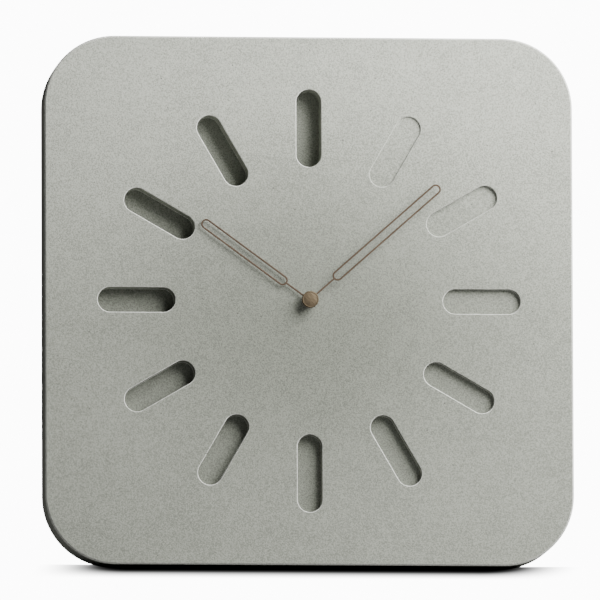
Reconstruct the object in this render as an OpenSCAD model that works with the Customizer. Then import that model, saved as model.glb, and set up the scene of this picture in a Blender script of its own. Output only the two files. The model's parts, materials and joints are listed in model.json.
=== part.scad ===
// Square cast wall clock with twelve stepped hour recesses and a quartz movement.
// Everything is drawn lying on its back: X to the right, Y up the dial and Z from the wall
// towards the viewer. upright() then stands it up, so that the dial faces -Y.

/* [Dial block] */
// Width of the block
block_w = 300; // [250:1:400]
// Height of the block
block_h = 300; // [250:1:400]
// Thickness of the block
block_t = 25; // [24:0.5:40]
// Radius of the block's four upright corners
block_corner_r = 40; // [10:1:60]
// Bevel round the front and back edges
block_bevel = 0.9; // [0.2:0.1:3]

/* [Hour recesses] */
// Radius of the circle through the recesses' middles
recess_ring_r = 98; // [80:1:110]
// Length of a recess, from end to end
recess_len = 44; // [20:1:50]
// Width of a recess
recess_w = 14; // [6:0.5:20]
// How much deeper each hour is than the hour before it
recess_step = 1; // [0.2:0.1:1.2]
// How far to the right of the ring the two o'clock recess stands
two_oclock_right = 2; // [0:0.1:4]
// How far above the ring the two o'clock recess stands
two_oclock_up = 2.4; // [0:0.1:4]
// Bevel round a recess's rim
recess_bevel = 0.35; // [0.1:0.05:1]

/* [Hands] */
// Angle of the minute hand, clockwise from twelve
minute_angle = 48.6; // [0:0.1:359.9]
// Angle of the hour hand, clockwise from twelve
hour_angle = 306.2; // [0:0.1:359.9]
// Length of the minute hand, from the shaft to its tip
minute_len = 98.5; // [60:0.5:120]
// Length of the hour hand, from the shaft to its tip
hour_len = 75.5; // [40:0.5:100]
// Width of both hands
hand_w = 5.9; // [3:0.1:12]
// Width of the metal line that a hand is made of
hand_line = 1.0; // [0.5:0.1:2]
// Thickness of the hands' sheet metal
hand_t = 0.5; // [0.3:0.1:1]
// Where the open part of the minute hand starts
minute_open_from = 18; // [10:0.5:40]
// Where the open part of the hour hand starts
hour_open_from = 16; // [10:0.5:40]
// Diameter of the cap over the shaft
cap_d = 9.5; // [8.5:0.1:16]
// Thickness of the cap
cap_t = 2.5; // [2:0.1:4]

/* [Movement] */
// Width and height of the movement's case
case_w = 56; // [54:0.5:70]
// Depth of the movement's case, from front wall to rear cover
case_d = 16; // [15.8:0.1:22]
// Thickness of the case's walls
case_wall = 1.2; // [0.8:0.1:2]
// Outer radius of the bush on the case's front
bush_r = 4; // [3.6:0.1:6]
// Bore radius of the bush
bush_bore_r = 2.58; // [2.55:0.01:2.7]
// Diameter of the battery
battery_d = 14.5; // [13.5:0.1:14.5]
// Length of the battery with its terminal
battery_len = 50.5; // [49:0.1:51]
// Tooth size of the motion work behind the hands, as a module
motion_module = 0.44; // [0.43:0.01:0.46]
// Tooth size between the seconds pinion and the third wheel, as a module
third_module = 0.31; // [0.3:0.005:0.32]

/* [Back] */
// Web left between the movement's pocket and the dial
web_t = 6; // [4:0.5:10]
// Gap between the movement and its pocket
pocket_gap = 1; // [0.5:0.1:3]
// Depth of the step that the movement's lugs stand on
ledge_depth = 12; // [8:0.5:13]
// Radius of the keyhole's round entry
keyhole_r = 5; // [4:0.1:6]
// Width of the keyhole's slot
keyhole_slot_w = 5; // [3:0.1:5]
// Thickness of the hanger plate
hanger_t = 1.5; // [1:0.1:2.5]
// Distance from the block's top edge down to the keyhole's entry
hanger_drop = 20; // [18:0.5:26]

/* [Hidden] */

$fn = 64;
eps = 0.01;         // overrun of a cut past the face it leaves by
fit_gap = 0.05;     // radial clearance of a running fit
press_gap = 0.03;   // radial clearance that stands for a pressed fit
pressure_angle = 20;

// Heights above the wall
case_front = block_t - web_t;              // front face of the case, on the pocket's floor
inner_front = case_front - case_wall;      // inside of the case's front wall
cover_back = case_front - case_d;          // outer face of the rear cover
cover_t = 1.2;                             // thickness of the rear cover
inner_back = cover_back + cover_t;
half_case = case_w / 2;
inner_half = half_case - case_wall;
case_corner_r = 3;
inner_corner_r = case_corner_r - case_wall;

// Battery, along X at the bottom of the case
battery_r = battery_d / 2;
battery_side_gap = 0.3;
battery_y = -inner_half + battery_side_gap + battery_r;
battery_z = inner_front - 0.1 - battery_r;
battery_nub = [2.75, 1.5];                 // radius and height of the battery's raised terminal
bay_wall_low = battery_y + battery_r + 0.2;
bay_wall_high = bay_wall_low + case_wall;
bay_end_gap = 1.4;                         // gap at each end of the bay's wall
cover_lip = 0.9;                           // depth of the cover's lip inside the case
lip_h = inner_half - bay_wall_high - 0.2;
groove_count = 6;                          // grooves in the cover's back
groove_x = 6;
groove_y = 10;
groove_pitch = 2.6;
groove_len = 14;
groove_w = 1.2;
thumb_gap = [18, 7];                       // gap in the case's wall, beside the battery
thumb_room = [40, 18, 6];                  // room for a thumb in the block: size and corner radius

// Bearing plates, measured back from the inside of the front wall
plate_t = 1;
train_plate_z = inner_front - 6.4;         // rear face of the train plate
rear_plate_z = inner_front - 12;           // rear face of the rear plate
plate_half_w = 23.4;
plate_corner_r = 2;
plate_low = bay_wall_high + 0.3;
plate_high = 15.8;
post_r = 1.6;
post_pin_r = 0.85;
post_x = 20.8;
post_low = plate_low + post_r + 0.4;
post_high = 13.6;

// Teeth: rotor 8 to 48, 8 to 40, 8 to 60, 8 to 64, then 12 to 36 and 10 to 40
rotor_teeth = 8;
intermediate_teeth = 48;
intermediate_pinion_teeth = 8;
seconds_teeth = 40;
seconds_pinion_teeth = 8;
third_teeth = 60;
third_pinion_teeth = 8;
centre_teeth = 64;
minute_pinion_teeth = 12;
motion_teeth = 36;
motion_pinion_teeth = 10;
hour_teeth = 40;
setting_teeth = 12;

rotor_module = 0.25;
seconds_module = 0.3;
third_arm = third_module * (seconds_pinion_teeth + third_teeth) / 2;
centre_module = 2 * third_arm / (third_pinion_teeth + centre_teeth);
motion_arm = motion_module * (minute_pinion_teeth + motion_teeth) / 2;
hour_module = 2 * motion_arm / (motion_pinion_teeth + hour_teeth);
intermediate_arm = seconds_module * (intermediate_pinion_teeth + seconds_teeth) / 2;
rotor_arm = rotor_module * (rotor_teeth + intermediate_teeth) / 2;
setting_arm = motion_module * (motion_teeth + setting_teeth) / 2;

// Shaft places, seen from the front
rotor_at = [0, 12.6];
intermediate_y = (rotor_at[1] + (pow(intermediate_arm, 2) - pow(rotor_arm, 2)) / rotor_at[1]) / 2;
intermediate_at = [-sqrt(pow(intermediate_arm, 2) - pow(intermediate_y, 2)), intermediate_y];
third_at = [third_arm, 0];
motion_at = [-motion_arm, 0];
setting_turn = 120;
setting_at = motion_at + setting_arm * [cos(setting_turn), sin(setting_turn)];

// Turn of each gear, so that every pair is in mesh at rest
function toward(a, b) = atan2(b[1] - a[1], b[0] - a[0]);
function meshed(turn, teeth, next_teeth, way) =
    way + 180 + (180 - (turn - way) * teeth) / next_teeth;
centre_at = [0, 0];
motion_turn = meshed(0, minute_pinion_teeth, motion_teeth, toward(centre_at, motion_at));
hour_turn = meshed(0, motion_pinion_teeth, hour_teeth, toward(motion_at, centre_at));
setting_turned = meshed(motion_turn, motion_teeth, setting_teeth, toward(motion_at, setting_at));
third_pinion_turn = meshed(0, centre_teeth, third_pinion_teeth, toward(centre_at, third_at));
seconds_pinion_turn = meshed(0, third_teeth, seconds_pinion_teeth, toward(third_at, centre_at));
intermediate_pinion_turn =
    meshed(0, seconds_teeth, intermediate_pinion_teeth, toward(centre_at, intermediate_at));
rotor_turn = meshed(0, intermediate_teeth, rotor_teeth, toward(intermediate_at, rotor_at));

// Heights of the wheels, measured back from the inside of the front wall
hour_wheel_z = inner_front - 1.4;
motion_wheel_z = inner_front - 3.1;
minute_pinion_z = inner_front - 3.4;
flange_z = inner_front - 3.7;
centre_wheel_z = inner_front - 5.1;
third_wheel_z = inner_front - 7.6;
seconds_wheel_z = inner_front - 9;
intermediate_wheel_z = inner_front - 10.4;
magnet_z = inner_front - 8.9;
magnet_t = 2;
stator_z = inner_front - 8.6;
wheel_t = 0.8;
stator_t = 1;
third_boss_z = inner_front - 3.3;
setting_boss_z = inner_front - 1.8;

// Shafts
pivot_r = 0.4;
seconds_arbor_r = 0.5;
minute_bore_r = seconds_arbor_r + 0.08;
minute_tube_r = 1.5;
hour_bore_r = minute_tube_r + 0.08;
hour_tube_r = bush_bore_r - 0.08;
clutch_seat_r = 2;
clutch_flange_r = 3.4;
setting_shaft_r = 1;
setting_tip_r = 0.6;
motion_pin_r = 0.5;
third_boss_r = 1.2;
setting_boss_r = 1.6;
boss_hole = 1.4;                           // depth of the bearing holes in the bosses
magnet_r = 2.6;
rotor_arbor_r = 0.7;
rotor_hole_r = magnet_r + 0.5;             // hole in the stator round the magnet
pivot_end = 0.1;                           // how far a pivot stops short of its bearing's far side

// Heights of the hands, measured from the dial
bush_hole_gap = 0.15;                      // radial gap between the bush and the dial's hole
bush_end = block_t - 0.6;
hour_hand_z = block_t + 1.6;
hour_tube_end = hour_hand_z + hand_t + 0.4;
minute_hand_z = hour_tube_end + 1.1;
minute_tube_end = minute_hand_z + hand_t + 0.9;
cap_z = minute_hand_z + hand_t + 0.2;
collet_t = 0.9;
collet_rim = 0.45;                         // how far a collet's collar is wider than its neck
hour_neck_r = hour_tube_r + 0.55;
minute_neck_r = minute_tube_r + 0.55;

// Setting knob
knob_t = 1.8;
knob_z = cover_back - 0.3 - knob_t;
knob_r = 5;
knob_web = 0.4;                            // thickness left over the shaft's end
setting_pinion_t = 1.4;
knob_grips = 20;
knob_grip_r = 0.45;

// Lugs, screws and inserts that hold the movement
lug_t = 2;
lug_r = 4.2;
lug_reach = half_case + 3.8;
lug_y = 6;
lug_z = ledge_depth - lug_t;
insert_r = 2.3;
insert_len = 6;
machine_screw_r = 1.45;
machine_screw_len = 7.5;
screw_head_r = 2.75;
screw_head_t = 1.9;
blind_end = 0.5;                           // how much deeper a blind hole is than what goes in it

// Hanger
hanger_y = block_h / 2 - hanger_drop;
hanger_w = 46;
hanger_h = 22;
hanger_corner_r = 3;
hanger_side_gap = 0.2;
hanger_mid_y = hanger_y + 3;
keyhole_rise = 8.5;
hanger_screw_x = 17;
hanger_screw_r = 1.45;
hanger_hole_r = hanger_screw_r + 0.15;
hanger_screw_len = 12;
hanger_head_r = 2.9;
plug_r = 2.5;
plug_len = 12.5;
head_room = 8;                             // depth of the room for the wall screw's head
head_side_gap = 2;                         // how much wider than the keyhole that room is

// Stator, coil and board
stator_pad = [7.6, 13.4, 1.2];             // place and radius of the pads that the stator lies on
pole_r = 4.6;
bar_low = rotor_at[1] - 1.2;               // lower edge of the stator's cross bar
bar_h = 4;
detent_r = 0.35;
third_hole_r = 1.9;
coil_at = [0, 21.5];
core_w = 2.5;
core_t = 1;
core_z = stator_z + stator_t;
coil_mid_z = core_z + core_t / 2;
bobbin_half = 8.5;
flange_r = 4.9;
flange_t = 0.8;
bobbin_r = 2.4;
winding_r = 4.3;
leg_in = 9.6;
leg_out = 12.6;
board_x = [14.6, inner_half - 0.7];
board_y = [17.2, inner_half - 0.9];
board_t = 0.8;
board_z = inner_front - 9.8;
board_post_r = 1.2;
board_pin_r = 0.6;
board_posts_at = [[board_x[0] + 2, board_y[1] - 1.8], [board_x[1] - 2.2, board_y[0] + 1.8]];
lead_z = board_z;                          // the leads from the battery's contacts to the board
lead_h = 1.6;
terminal_t = 0.3;
terminal_low = battery_z - 3;
terminal_h = 6;
terminal_out = inner_half - 0.05;          // outer face of the terminals, beside the case's wall

// Teeth: cut closer to the wheels' middles and further out on the pinions, so that none is undercut
pinion_shift = 0.4;
wheel_shift = -0.4;

module upright() rotate([90, 0, 0]) children();

module at(place, z = 0) translate([place[0], place[1], z]) children();

// A square with rounded corners, about the origin
module rounded_square(w, h, r) {
    square([w - 2 * r, h], center = true);
    square([w, h - 2 * r], center = true);
    for (x = [-1, 1], y = [-1, 1])
        translate([x * (w / 2 - r), y * (h / 2 - r)]) circle(r);
}

// A slot with round ends, along Y about the origin
module slot_2d(length, width) {
    square([width, length - width], center = true);
    for (y = [-1, 1]) translate([0, y * (length - width) / 2]) circle(width / 2);
}

// An outline like slot_2d's, hollow inside
module slot_ring_2d(length, width, line) difference() {
    slot_2d(length, width);
    slot_2d(length - 2 * line, width - 2 * line);
}

// Half of a slab's edge section, from its middle out, with both corners bevelled
function edge_section(half, t, c) =
    [[0, 0], [half - c, 0], [half, c], [half, t - c], [half - c, t], [0, t]];

// Both halves of that section
function full_section(half, t, c) =
    [[-half + c, 0], [half - c, 0], [half, c], [half, t - c], [half - c, t],
     [-half + c, t], [-half, t - c], [-half, c]];

// A slab with rounded corners and bevelled front and back edges
module bevelled_slab(w, h, t, r, c) {
    translate([-(w / 2 - r), 0, 0]) rotate([90, 0, 90])
        linear_extrude(w - 2 * r) polygon(full_section(h / 2, t, c));
    translate([0, h / 2 - r, 0]) rotate([90, 0, 0])
        linear_extrude(h - 2 * r) polygon(full_section(w / 2, t, c));
    for (x = [-1, 1], y = [-1, 1])
        translate([x * (w / 2 - r), y * (h / 2 - r), 0])
            rotate_extrude($fn = 128) polygon(edge_section(r, t, c));
}

// The cutter of one hour recess: a round-ended pocket with a flared rim
module recess_cutter(depth) {
    r = recess_w / 2;
    half = (recess_len - recess_w) / 2;
    flare = recess_bevel + eps;
    translate([0, 0, block_t - depth]) linear_extrude(depth + eps) slot_2d(recess_len, recess_w);
    for (y = [-half, half])
        translate([0, y, block_t - recess_bevel]) cylinder(h = flare, r1 = r, r2 = r + flare);
    translate([0, half, block_t - recess_bevel]) rotate([90, 0, 0]) linear_extrude(2 * half)
        polygon([[-r, 0], [r, 0], [r + flare, flare], [-r - flare, flare]]);
}

// Keyhole outline: a round entry with a narrower slot above it
module keyhole_2d(gap = 0) {
    circle(keyhole_r + gap);
    translate([-keyhole_slot_w / 2 - gap, 0]) square([keyhole_slot_w + 2 * gap, keyhole_rise]);
    translate([0, keyhole_rise]) circle(keyhole_slot_w / 2 + gap);
}

// Involute of an angle, and half a tooth's angle at a radius, both in degrees
function involute(a) = tan(a) * 180 / PI - a;
function tooth_half(teeth, shift, m, thin, rho) =
    let (r = m * teeth / 2, base = r * cos(pressure_angle),
         a = acos(min(1, base / max(rho, base))))
    (90 + 2 * shift * tan(pressure_angle) * 180 / PI) / teeth
        + involute(pressure_angle) - involute(a) - thin / 2 / r * 180 / PI;

// Gear outline with one tooth's middle at the angle turn
module gear_2d(teeth, m, shift, turn = 0, flank_points = 3) {
    backlash = 0.05;
    r = m * teeth / 2;
    root = r - m * (1.1 - shift);
    tip = r + m * (0.85 + shift);
    start = max(root, r * cos(pressure_angle));
    flank = [for (i = [0:flank_points - 1]) start + (tip - start) * i / (flank_points - 1)];
    radii = root < start - 0.02 ? concat([root], flank) : flank;
    last = len(radii) - 1;
    polygon([for (k = [0:teeth - 1])
        each concat(
            [for (i = [0:last]) let (a = turn + 360 * k / teeth
                - tooth_half(teeth, shift, m, backlash, radii[i])) radii[i] * [cos(a), sin(a)]],
            [for (i = [last:-1:0]) let (a = turn + 360 * k / teeth
                + tooth_half(teeth, shift, m, backlash, radii[i])) radii[i] * [cos(a), sin(a)]])
    ]);
}

module pinion(teeth, m, z, h, turn) translate([0, 0, z])
    linear_extrude(h) gear_2d(teeth, m, pinion_shift, turn, 4);

// A wheel with a thin web and round lightening holes
module wheel(teeth, m, z, h, turn, holes = 0) {
    rim = m * teeth / 2 - 3 * m;
    hole_r = min(rim / 4, 2);
    translate([0, 0, z]) linear_extrude(h) difference() {
        gear_2d(teeth, m, wheel_shift, turn);
        for (i = [1:1:holes]) rotate(360 * i / holes) translate([rim * 0.62, 0]) circle(hole_r);
    }
}

module shaft(z0, z1, r) translate([0, 0, z0]) cylinder(h = z1 - z0, r = r);

module ring(z, h, outer, inner) translate([0, 0, z]) linear_extrude(h) difference() {
    circle(outer);
    circle(inner);
}

module at_posts() for (x = [-post_x, post_x], y = [post_low, post_high])
    translate([x, y, 0]) children();

module at_lugs() for (x = [-lug_reach, lug_reach]) translate([x, lug_y, 0]) children();

module at_hanger_screws() for (x = [-hanger_screw_x, hanger_screw_x])
    translate([x, hanger_mid_y, 0]) children();

// ---- Dial block and what is fixed to it ----

module dial_block() color([0.66, 0.67, 0.64]) upright() difference() {
    bevelled_slab(block_w, block_h, block_t, block_corner_r, block_bevel);
    for (hour = [1:12])
        translate(hour == 2 ? [two_oclock_right, two_oclock_up, 0] : [0, 0, 0])
            rotate([0, 0, -30 * hour]) translate([0, recess_ring_r, 0])
                recess_cutter(hour * recess_step);
    movement_pocket();
    hanger_pocket();
    shaft(case_front - eps, block_t + eps, bush_r + bush_hole_gap);
    at_lugs() shaft(ledge_depth - eps, ledge_depth + insert_len + blind_end, insert_r + fit_gap);
}

module movement_pocket() {
    size = case_w + 2 * pocket_gap;
    translate([0, 0, -eps]) linear_extrude(case_front + eps)
        rounded_square(size, size, case_corner_r);
    translate([0, 0, -eps]) linear_extrude(ledge_depth + eps) {
        translate([0, lug_y]) rotate(90)
            slot_2d(2 * (lug_reach + lug_r + pocket_gap), 2 * (lug_r + pocket_gap));
        translate([0, -half_case]) rounded_square(thumb_room[0], thumb_room[1], thumb_room[2]);
    }
}

module hanger_pocket() translate([0, 0, -eps]) {
    linear_extrude(hanger_t + eps)
        translate([0, hanger_mid_y]) rounded_square(hanger_w + 2 * hanger_side_gap,
            hanger_h + 2 * hanger_side_gap, hanger_corner_r + hanger_side_gap);
    linear_extrude(head_room + eps) translate([0, hanger_y]) keyhole_2d(head_side_gap);
    at_hanger_screws() cylinder(h = hanger_t + plug_len + blind_end + eps, r = plug_r + fit_gap);
}

module hanger_plate() color([0.72, 0.73, 0.74]) upright() difference() {
    translate([0, hanger_mid_y]) linear_extrude(hanger_t)
        rounded_square(hanger_w, hanger_h, hanger_corner_r);
    translate([0, hanger_y, -eps]) linear_extrude(hanger_t + 2 * eps) keyhole_2d();
    at_hanger_screws() {
        translate([0, 0, -eps]) cylinder(h = hanger_t + 2 * eps, r = hanger_hole_r);
        translate([0, 0, -eps]) cylinder(h = hanger_t + eps, r1 = hanger_head_r + 0.1,
            r2 = hanger_hole_r);
    }
}

module hanger_screws() color([0.8, 0.8, 0.8]) upright() at_hanger_screws() difference() {
    union() {
        cylinder(h = hanger_t - 0.1, r1 = hanger_head_r, r2 = hanger_screw_r);
        cylinder(h = hanger_screw_len, r = hanger_screw_r);
    }
    cross_recess(3.2, 0.9);
}

module hanger_plugs() color([0.85, 0.85, 0.8]) upright() at_hanger_screws()
    ring(hanger_t, plug_len, plug_r, hanger_screw_r + fit_gap);

// A cross-shaped drive recess, cut up from z = 0
module cross_recess(span, depth) for (turn = [0, 90]) rotate(turn)
    translate([-span / 2, -0.35, -eps]) cube([span, 0.7, depth]);

module movement_inserts() color([0.8, 0.66, 0.3]) upright() at_lugs()
    ring(ledge_depth, insert_len, insert_r, machine_screw_r + fit_gap);

module movement_screws() color([0.75, 0.75, 0.78]) upright() at_lugs()
    translate([0, 0, lug_z - screw_head_t]) difference() {
        union() {
            cylinder(h = screw_head_t, r = screw_head_r);
            cylinder(h = screw_head_t + machine_screw_len, r = machine_screw_r);
        }
        cross_recess(3.4, 1.1);
    }

// ---- Movement, fixed pieces ----

module movement_case() color([0.12, 0.12, 0.13]) upright() {
    difference() {
        union() {
            case_shell();
            shaft(inner_front, bush_end, bush_r);
            case_lugs();
            at_posts() {
                shaft(train_plate_z + plate_t, inner_front, post_r);
                shaft(train_plate_z + 0.3, train_plate_z + plate_t, post_pin_r);
            }
            at(third_at) shaft(third_boss_z, inner_front, third_boss_r);
            at(setting_at) shaft(setting_boss_z, inner_front, setting_boss_r);
            board_posts();
        }
        shaft(inner_front - eps, bush_end + eps, bush_bore_r);
        at(third_at) shaft(third_boss_z - eps, third_boss_z + boss_hole, pivot_r + fit_gap);
        at(motion_at) shaft(inner_front - eps, inner_front + 0.7, motion_pin_r + fit_gap);
        at(setting_at)
            shaft(setting_boss_z - eps, setting_boss_z + boss_hole, setting_tip_r + fit_gap);
    }
}

module case_shell() {
    depth = case_front - inner_back;
    difference() {
        translate([0, 0, inner_back]) linear_extrude(depth)
            rounded_square(case_w, case_w, case_corner_r);
        translate([0, 0, inner_back - eps]) linear_extrude(inner_front - inner_back + eps)
            rounded_square(2 * inner_half, 2 * inner_half, inner_corner_r);
        translate([-thumb_gap[0] / 2, -half_case - eps, inner_back - eps])
            cube([thumb_gap[0], case_wall + 2 * eps, thumb_gap[1]]);
    }
    // the wall between the battery and the train, open at both ends for the terminals
    translate([-inner_half + bay_end_gap, bay_wall_low, inner_back])
        cube([2 * (inner_half - bay_end_gap), case_wall, inner_front - inner_back]);
}

module case_lugs() for (side = [-1, 1]) difference() {
    union() {
        translate([side > 0 ? half_case - eps : -lug_reach, lug_y - lug_r, lug_z])
            cube([lug_reach - half_case + eps, 2 * lug_r, lug_t]);
        translate([side * lug_reach, lug_y, 0]) shaft(lug_z, lug_z + lug_t, lug_r);
    }
    translate([side * lug_reach, lug_y, 0])
        shaft(lug_z - eps, lug_z + lug_t + eps, machine_screw_r + 0.25);
}

// Two short posts that carry the circuit board
module board_posts() for (place = board_posts_at) at(place) {
    shaft(board_z + board_t, inner_front, board_post_r);
    shaft(board_z + 0.2, board_z + board_t, board_pin_r);
}

module rear_cover() color([0.14, 0.14, 0.15]) upright() difference() {
    union() {
        translate([0, (half_case + bay_wall_low) / 2, cover_back]) linear_extrude(cover_t)
            rounded_square(case_w, half_case - bay_wall_low, case_corner_r);
        // a lip that seats inside the case's wall
        translate([0, (inner_half + bay_wall_high) / 2, inner_back - eps])
            linear_extrude(cover_lip) difference() {
                rounded_square(2 * inner_half - 0.2, lip_h, inner_corner_r);
                rounded_square(2 * (inner_half - 2), lip_h - 3.8, 1);
            }
    }
    at(setting_at) shaft(cover_back - eps, inner_back + 1, setting_shaft_r + 0.3);
    // a round recess round the knob, and grooves in the moulding
    at(setting_at) shaft(cover_back - eps, cover_back + 0.4, knob_r + 1.2);
    for (i = [0:groove_count - 1])
        translate([groove_x + groove_pitch * i, groove_y, cover_back - eps])
            linear_extrude(0.5) slot_2d(groove_len, groove_w);
    // a notch on each side that lets the terminals pass the lip
    for (side = [-1, 1]) translate([side * (inner_half - 0.5), 0, inner_back + 0.5])
        cube([2, case_w, 1.2], center = true);
}

module plate_2d() difference() {
    translate([0, (plate_low + plate_high) / 2])
        rounded_square(2 * plate_half_w, plate_high - plate_low, plate_corner_r);
    at(setting_at) circle(setting_shaft_r + fit_gap);
    at_posts() circle(post_pin_r + fit_gap);
}

module train_plate() color([0.9, 0.9, 0.88]) upright() {
    difference() {
        union() {
            translate([0, 0, train_plate_z]) linear_extrude(plate_t) plate_2d();
            at_posts() shaft(rear_plate_z + plate_t, train_plate_z, post_r);
            // pads that the stator lies on
            for (x = [-stator_pad[0], stator_pad[0]]) translate([x, stator_pad[1], 0])
                shaft(stator_z + stator_t, train_plate_z, stator_pad[2]);
        }
        shaft(train_plate_z - eps, train_plate_z + plate_t + eps, clutch_seat_r + fit_gap);
        at(third_at) shaft(train_plate_z - eps, train_plate_z + plate_t + eps, third_hole_r);
        at(motion_at)
            shaft(train_plate_z - eps, train_plate_z + plate_t + eps, motion_pin_r + fit_gap);
        for (place = [intermediate_at, rotor_at])
            at(place) shaft(train_plate_z - eps, train_plate_z + plate_t + eps, pivot_r + fit_gap);
    }
    at_posts() shaft(rear_plate_z + 0.2, rear_plate_z + plate_t, post_pin_r);
}

module rear_plate() color([0.86, 0.86, 0.84]) upright()
    translate([0, 0, rear_plate_z]) linear_extrude(plate_t) difference() {
        plate_2d();
        for (place = [centre_at, third_at, intermediate_at, rotor_at])
            at(place) circle(pivot_r + fit_gap);
    }

module stator() color([0.55, 0.56, 0.58]) upright()
    translate([0, 0, stator_z]) linear_extrude(stator_t) difference() {
        union() {
            at(rotor_at) circle(pole_r);
            translate([-leg_out, bar_low]) square([2 * leg_out, bar_h]);
            for (x = [-leg_out, leg_in]) translate([x, bar_low])
                square([leg_out - leg_in, coil_at[1] + core_w / 2 - bar_low]);
        }
        at(rotor_at) circle(rotor_hole_r);
        // the two detent notches and the slits that thin the poles
        for (turn = [45, 225]) at(rotor_at) rotate(turn) translate([rotor_hole_r, 0])
            circle(detent_r);
        for (turn = [90, 270]) at(rotor_at) rotate(turn) translate([pole_r - 0.6, -0.1])
            square([0.7, 0.2]);
    }

module coil_core() color([0.6, 0.61, 0.63]) upright()
    at(coil_at, core_z) linear_extrude(core_t)
        square([2 * leg_out, core_w], center = true);

module coil_axis() translate([-bobbin_half, coil_at[1], coil_mid_z]) rotate([0, 90, 0]) children();

module coil_bobbin() color([0.93, 0.93, 0.9]) upright() difference() {
    coil_axis() {
        cylinder(h = 2 * bobbin_half, r = bobbin_r);
        cylinder(h = flange_t, r = flange_r);
        translate([0, 0, 2 * bobbin_half - flange_t]) cylinder(h = flange_t, r = flange_r);
    }
    at(coil_at, core_z - 0.1) translate([-leg_out, -core_w / 2 - 0.1, 0])
        cube([2 * leg_out, core_w + 0.2, core_t + 0.2]);
}

module coil_winding() color([0.72, 0.36, 0.2]) upright() coil_axis()
    ring(flange_t + press_gap, 2 * (bobbin_half - flange_t - press_gap), winding_r,
        bobbin_r + press_gap);

module circuit_board() color([0.1, 0.35, 0.2]) upright()
    translate([0, 0, board_z]) linear_extrude(board_t) difference() {
        translate([board_x[0], board_y[0]]) square([board_x[1] - board_x[0], board_y[1] - board_y[0]]);
        for (place = board_posts_at) at(place) circle(board_pin_r + fit_gap);
    }

module chip_cover() color([0.05, 0.05, 0.05]) upright()
    at([(board_x[0] + board_x[1]) / 2 - 1.6, board_y[0] + 3], board_z - 0.9) {
        translate([0, 0, 0.4]) cylinder(h = 0.5, r = 2.1);
        cylinder(h = 0.4, r1 = 1.3, r2 = 2.1);
    }

module quartz_crystal() color([0.8, 0.8, 0.82]) upright()
    translate([board_x[0] + 4.6, board_y[1] - 1.6, board_z - 1.05]) rotate([0, 90, 0])
        cylinder(h = 6, r = 1);

module battery() color([0.2, 0.45, 0.3]) upright()
    translate([battery_len / 2 - 0.05, battery_y, battery_z]) rotate([0, -90, 0]) {
        cylinder(h = battery_len - battery_nub[1], r = battery_r - 0.1);
        cylinder(h = battery_len - 0.1, r = battery_nub[0]);
        translate([0, 0, battery_len - battery_nub[1] - 0.1]) cylinder(h = 0.3, r = battery_r - 0.6);
    }

// A bent metal strip that stands on edge, from the corners of its outer and its inner face
module strip(outer, inner, z, h) translate([0, 0, z]) linear_extrude(h)
    polygon(concat(outer, [for (i = [len(inner) - 1:-1:0]) inner[i]]));

// The spring contact at one end of the battery, on the right for side 1 and the left for side -1
module battery_contact(side) {
    wall = terminal_out;
    face = battery_len / 2 + 0.02;
    t = terminal_t;
    low = battery_y - 4;
    points = [[wall, bay_wall_high + 1.2], [wall, low + 8], [face + t, battery_y + 1.4],
              [face + t, battery_y - 1.4], [wall, low]];
    backs = [[wall - t, bay_wall_high + 1.2], [wall - t, low + 7.9], [face, battery_y + 1.4],
             [face, battery_y - 1.4], [wall - t, low + 0.1]];
    mirror([side > 0 ? 0 : 1, 0, 0]) strip(points, backs, terminal_low, terminal_h);
}

// Each terminal's lead runs from its contact along the case's wall to the board
module negative_terminal() color([0.78, 0.78, 0.74]) upright() {
    wall = terminal_out;
    battery_contact(1);
    translate([wall - terminal_t, bay_wall_high + 0.2, lead_z])
        cube([terminal_t, board_y[0] + 3 - bay_wall_high, lead_h]);
    translate([board_x[1] + 0.02, board_y[0] + 2.2, lead_z])
        cube([wall - board_x[1] - 0.02, 1, terminal_t + 0.2]);
    translate([wall - terminal_t, bay_wall_high + 0.2, terminal_low])
        cube([terminal_t, 1, lead_z + lead_h - terminal_low]);
}

module positive_terminal() color([0.8, 0.76, 0.6]) upright() {
    wall = terminal_out;
    battery_contact(-1);
    translate([-wall, bay_wall_high + 0.2, terminal_low])
        cube([terminal_t, 1, lead_z + lead_h - terminal_low]);
    translate([-wall, bay_wall_high + 0.2, lead_z])
        cube([terminal_t, wall - bay_wall_high - 2.2, lead_h]);
    translate([-wall, wall - 2.3, lead_z]) cube([2.3, terminal_t, lead_h]);
    translate([-wall + 2, wall - 2.3, lead_z]) cube([terminal_t, 2.3, lead_h]);
    translate([-wall + 2, wall - terminal_t, lead_z])
        cube([wall - 2 + board_x[0] + 5, terminal_t, lead_h]);
    translate([board_x[0] + 4, board_y[1] + 0.02, lead_z])
        cube([1, wall - board_y[1] - 0.02, terminal_t + 0.2]);
}

// ---- Movement, turning pieces ----

module rotor_magnet() color([0.25, 0.25, 0.27]) upright() at(rotor_at)
    ring(magnet_z, magnet_t, magnet_r, rotor_arbor_r + press_gap);

module rotor_pinion() color([0.92, 0.92, 0.9]) upright() at(rotor_at) {
    shaft(rear_plate_z + pivot_end, train_plate_z + plate_t - pivot_end, pivot_r);
    shaft(intermediate_wheel_z + 1.2, magnet_z + magnet_t + 0.2, rotor_arbor_r);
    shaft(magnet_z - 0.3, magnet_z, 1.3);
    pinion(rotor_teeth, rotor_module, intermediate_wheel_z - 0.3, 1.5, rotor_turn);
}

module intermediate_wheel() color([0.95, 0.95, 0.92]) upright() at(intermediate_at) {
    shaft(rear_plate_z + pivot_end, train_plate_z + plate_t - pivot_end, pivot_r);
    wheel(intermediate_teeth, rotor_module, intermediate_wheel_z, wheel_t, 0, 4);
    pinion(intermediate_pinion_teeth, seconds_module, intermediate_wheel_z + wheel_t,
        seconds_wheel_z - intermediate_wheel_z + 0.4, intermediate_pinion_turn);
}

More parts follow.
